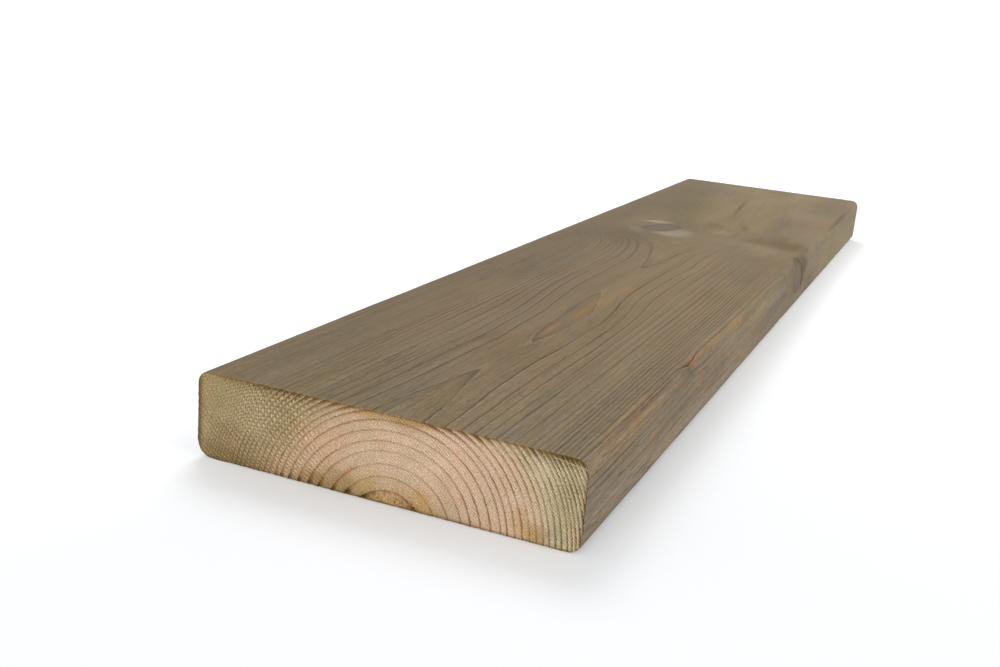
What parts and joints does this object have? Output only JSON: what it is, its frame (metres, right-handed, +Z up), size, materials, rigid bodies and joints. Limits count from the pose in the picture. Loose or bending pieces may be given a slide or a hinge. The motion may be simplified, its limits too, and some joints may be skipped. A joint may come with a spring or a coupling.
{
  "type": "decking board",
  "caption": "Short flat length of planed softwood decking board with rounded long edges and square-sawn ends.",
  "frame": {"origin": "middle of the underside, on the surface that the board lies on", "axes": "+Y along the board's length, +X across its width, +Z up out of the top face"},
  "size_m": [0.145, 0.67, 0.032],
  "materials": {
    "treated_softwood": "planed and left bare, preservative-treated, grey-brown and weathered"
  },
  "bodies": {
    "root": {"decking_board": "treated_softwood"}
  },
  "joints": []
}
